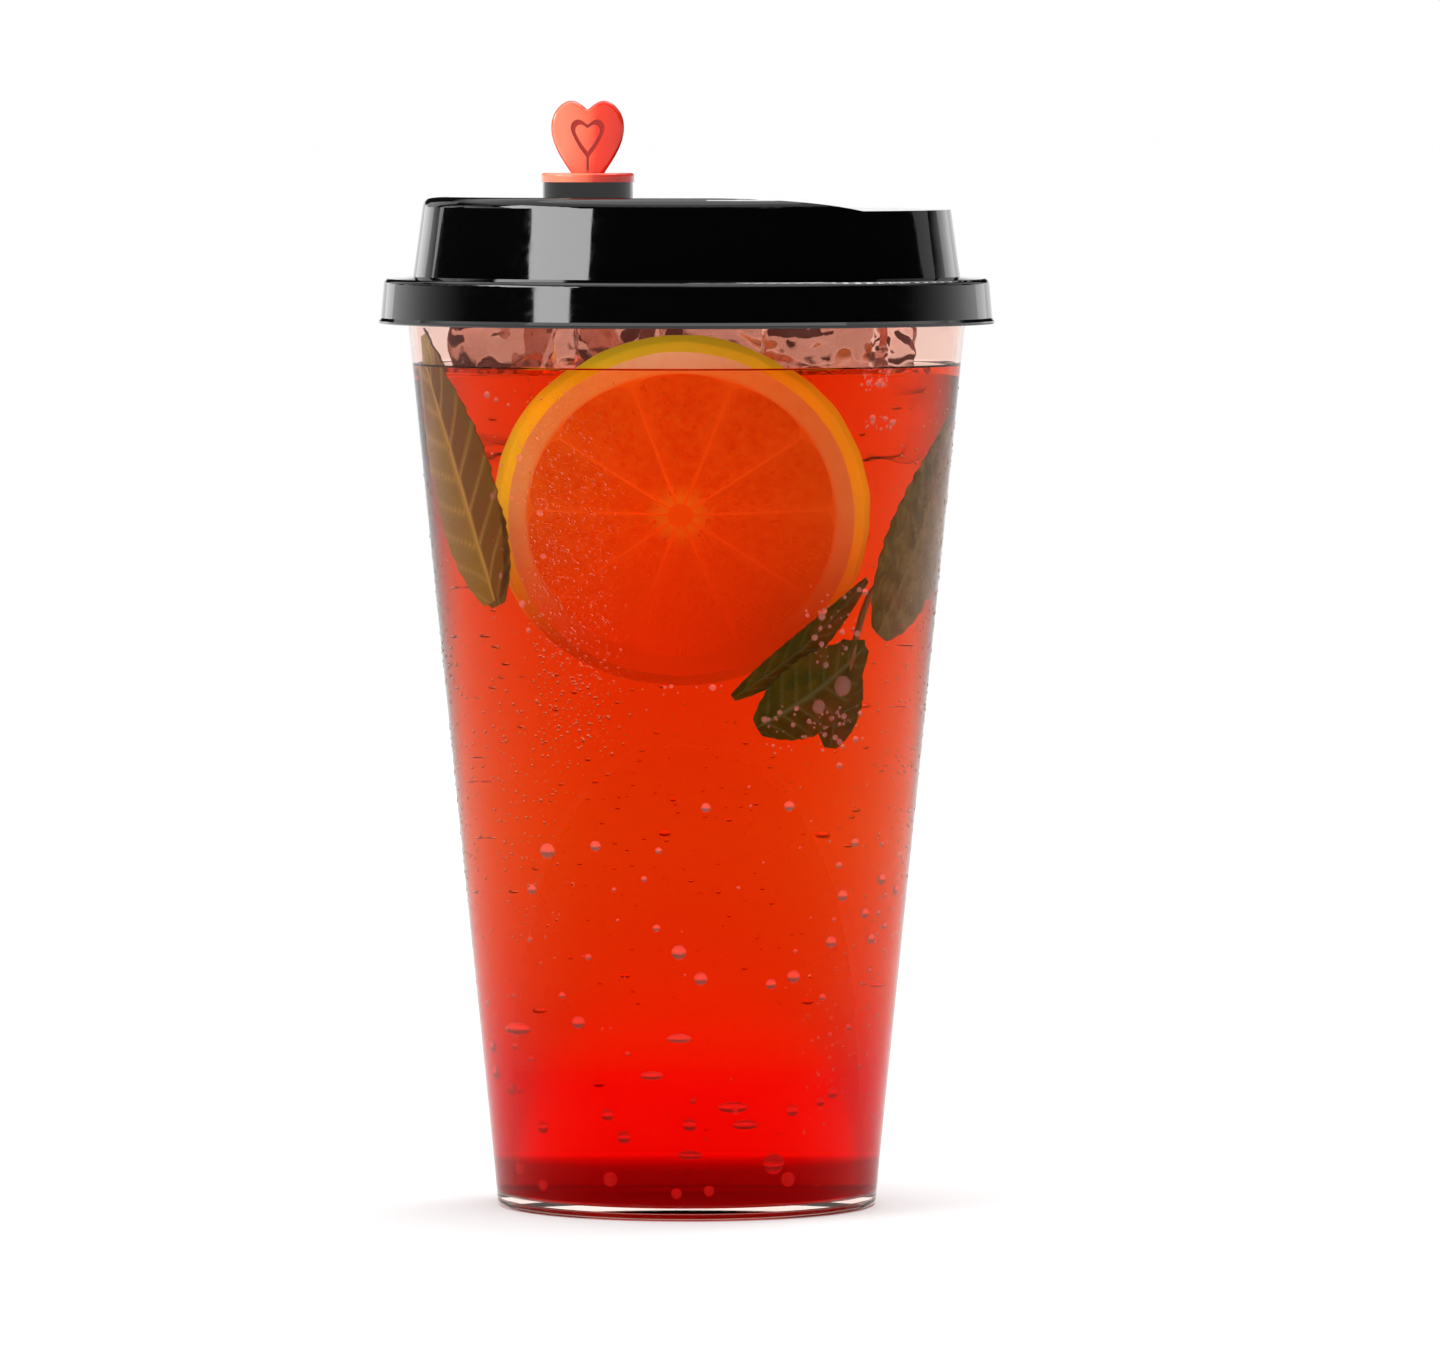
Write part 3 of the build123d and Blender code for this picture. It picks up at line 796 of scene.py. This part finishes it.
def makeStem():
    points = [onWall(azimuth, height, stemLook["gap"]) for azimuth, height, radius in stemLook["course"]]
    radii = [radius for azimuth, height, radius in stemLook["course"]]
    stem = Mat("mintStem", roughness=0.4)
    tone = stem.ramp(stem.noiseAt(240.0), (0.3, (0.34, 0.10, 0.02)), (0.7, (0.16, 0.09, 0.015)))
    # painted light: the emission makes the stem glow a little
    stem.feed(color=tone, emission=tone, emissionStrength=0.1)
    piece = newPiece("mintStem", tube(points, radii), stem)
    settle(piece, "cup", "mint_stem_green", "mint_stem")


makeMint()
makeStem()

# bubbles in the drink
bubbles = {
    # (azimuth, height and radius in millimetres) of the larger ones, which cling to the wall
    "large": (
        (-122, 30, 1.0), (-129, 56, 1.2), (-114, 57, 0.8), (-135, 50, 0.8), (-92, 41, 1.1), (-86, 37, 1.0),
        (-59, 37, 1.0), (-66, 36, 0.8), (-47, 42, 0.9), (-44, 49, 0.9), (-27, 51, 0.9), (-17, 49, 0.8),
        (-34, 46, 0.8), (-30, 42, 0.8), (-41, 57, 0.7), (-63, 63, 0.8), (-85, 63, 0.7), (-163, 25, 0.9),
        (-163, 21, 1.0), (-153, 19, 1.0), (-138, 13.5, 0.9), (-114, 16, 0.9), (-109, 12.7, 1.0),
        (-89, 14.7, 1.0), (-57, 16.5, 0.9), (-47, 17.6, 0.7), (-42, 18.8, 0.9), (-62, 8.5, 1.6),
        (-57, 6.0, 1.1), (-114, 6.2, 1.1), (-152, 6.8, 1.0), (-140, 4.6, 0.8), (-93, 4.2, 0.8),
        (-83, 4.6, 0.8), (-49, 81, 1.7), (-56, 78, 1.15),
    ),
    # (azimuth from, to, height from, to, amount) of small ones
    "small": (
        (-175, -5, 0.004, 0.07, 0.05), (-30, 0, 0.035, 0.06, 0.5), (-165, -135, 0.012, 0.035, 0.35),
        (-72, -40, 0.071, 0.0785, 2.6), (-62, -44, 0.083, 0.097, 1.0), (-48, -39, 0.1195, 0.122, 9.0),
        (-50, -41, 0.1255, 0.1292, 7.0), (5, 175, 0.006, 0.12, 0.04), (-108, -70, 0.077, 0.082, 0.5),
        (-145, -120, 0.086, 0.128, 0.25),
    ),
    # the same for the flat ones
    "flat": (
        (-92, 27.9, 1.3), (-100, 22.2, 1.2), (-76, 17.3, 1.6), (-72, 14.6, 1.4), (-89, 10.1, 1.3),
        (-148, 28.3, 1.8),
    ),
    "perSquareMetre": 3.4e5,
}


def makeBubbles():
    # the pink tint and the glow of the gas are painted light from the drink round it
    gas = Mat("bubbleGas", color=(1.0, 0.72, 0.70), roughness=0.0, ior=1.16, transmission=0.85,
              emission=(1.0, 0.36, 0.34), emissionStrength=0.10)
    tree = scatterTree("bubbleTree", 4, onFaces=False)
    for key, shape in (("large", (1.0, 1.0, 1.0)), ("flat", (1.4, 0.5, 0.55))):
        bm = bmesh.new()
        amount = bm.verts.layers.float.new("amount")
        for azimuth, height, radius in bubbles[key]:
            vert = bm.verts.new(onWall(azimuth, height / 1000, radius * 0.00085))
            vert[amount] = radius * 0.001
        settle(scatter(key + "Bubbles", bm, tree, gas, Shape=shape), "cup", None)
    small = scatter(
        "smallBubbles", patches(lambda z: wallInside(z) - 0.0003, bubbles["small"]),
        scatterTree("froth", 3), gas, Density=bubbles["perSquareMetre"], Smallest=0.00014,
        Largest=0.00058, Shape=(1.0, 1.0, 1.0), Seed=11)
    settle(small, "cup", None)


makeBubbles()

# dew on the outside
dew = {
    "areas": (
        (-130, -103, 0.066, 0.127, 1.5), (-40, 8, 0.05, 0.130, 0.45), (-190, -150, 0.03, 0.125, 0.3),
        (-150, -120, 0.03, 0.09, 0.35), (-60, -20, 0.01, 0.05, 0.25), (10, 170, 0.03, 0.125, 0.12),
    ),
    "perSquareMetre": 1.5e6, "smallest": 0.00008, "largest": 0.0003,
}


def makeDew():
    water = Mat("dewWater", color=(1.0, 0.84, 0.62), roughness=0.02, ior=1.16, transmission=1.0,
                tint=(0.5, 0.35, 0.2))
    drops = scatter(
        "dewDrops", patches(lambda z: wallOutside(z) - 0.00002, dew["areas"]), scatterTree("dewTree", 2),
        water, Density=dew["perSquareMetre"], Smallest=dew["smallest"], Largest=dew["largest"],
        Shape=(1.0, 1.0, 0.45), Seed=23)
    settle(drops, "cup", None)


makeDew()

# floor, light and camera
view = {"distance": 1.747, "eye": 0.168, "aim": (0.0051, 0.0, 0.0807), "across": 0.2206}
studio = {
    # how bright the surroundings are at each height, from the horizon to overhead
    "sky": ((0.0, 1.02), (0.05, 1.02), (0.10, 0.012), (0.44, 0.012), (0.60, 1.15), (1.0, 1.15)),
    "sun": 1.3,
    # name: (azimuth, distance, low, high, width, strength)
    "lamps": {
        "softboxLeft": (-156, 1.3, 0.02, 1.2, 0.42, 9.5),
        "stripLeft": (-184, 1.3, 0.02, 1.0, 0.10, 1.3),
        "stripFarLeft": (-207, 1.3, 0.02, 1.0, 0.10, 1.2),
        "rimLeft": (-236, 1.5, 0.02, 1.0, 0.40, 0.7),
        "stripRight": (20, 1.3, 0.02, 1.0, 0.26, 0.45),
        "rimRight": (52, 1.5, 0.02, 1.0, 0.40, 0.5),
    },
    # the one overhead: where it hangs, its width and depth, strength
    "overhead": ((0.36, 0.44, 1.25), (0.62, 0.34), 9.0),
}


def hangLamp(name, spot, facing, width, tall, strength):
    lamp = bpy.data.lights.new(name, "AREA")
    lamp.shape = "RECTANGLE"
    lamp.size = width
    lamp.size_y = tall
    lamp.energy = strength * math.pi * width * tall
    box = bpy.data.objects.new(name, lamp)
    box.location = spot
    box.rotation_euler = facing.to_track_quat("-Z", "Z").to_euler()
    box.visible_transmission = False
    scene.collection.objects.link(box)


def makeStage():
    bm = bmesh.new()
    bmesh.ops.create_circle(bm, cap_ends=True, radius=60, segments=96)
    floor = newPiece("floor", bm, Mat("paleFloor", color=(0.82, 0.82, 0.82), roughness=0.8, specular=0.1),
                     smooth=False)
    world = bpy.data.worlds.new("studio")
    scene.world = world
    world.use_nodes = True
    sky = Graph(world.node_tree)
    way = sky.node("ShaderNodeTexCoord")
    up = sky.node("ShaderNodeSeparateXYZ", {}, {0: way}, out=2)
    stops = [(z, (level, level, level)) for z, level in studio["sky"]]
    sky.put(world.node_tree.nodes["Background"].inputs["Color"],
            sky.node("ShaderNodeValToRGB", {"stops": stops}, {"Fac": up}))
    sun = bpy.data.lights.new("overheadGlow", "SUN")
    sun.energy = studio["sun"]
    sun.angle = math.radians(70)
    scene.collection.objects.link(bpy.data.objects.new("overheadGlow", sun))
    for name, (azimuth, distance, low, high, width, strength) in studio["lamps"].items():
        a = math.radians(azimuth)
        spot = Vector((distance * math.cos(a), distance * math.sin(a), (low + high) / 2))
        hangLamp(name, spot, Vector((-spot.x, -spot.y, 0)), width, high - low, strength)
    spot, (wide, deep), strength = studio["overhead"]
    hangLamp("overheadBox", Vector(spot), Vector((0, 0, 0.14)) - Vector(spot), wide, deep, strength)


def makeCamera():
    lens = bpy.data.cameras.new("camera")
    camera = bpy.data.objects.new("camera", lens)
    scene.collection.objects.link(camera)
    camera.location = (view["aim"][0], -view["distance"], view["eye"])
    aim = Vector(view["aim"]) - camera.location
    camera.rotation_euler = aim.to_track_quat("-Z", "Y").to_euler()
    lens.lens = lens.sensor_width * aim.length / view["across"]
    lens.clip_end = 200
    scene.camera = camera


makeStage()
makeCamera()
scene.view_settings.view_transform = "Standard"
scene.cycles.use_denoising = True
scene.cycles.sample_clamp_indirect = 6.0
print("stage set")
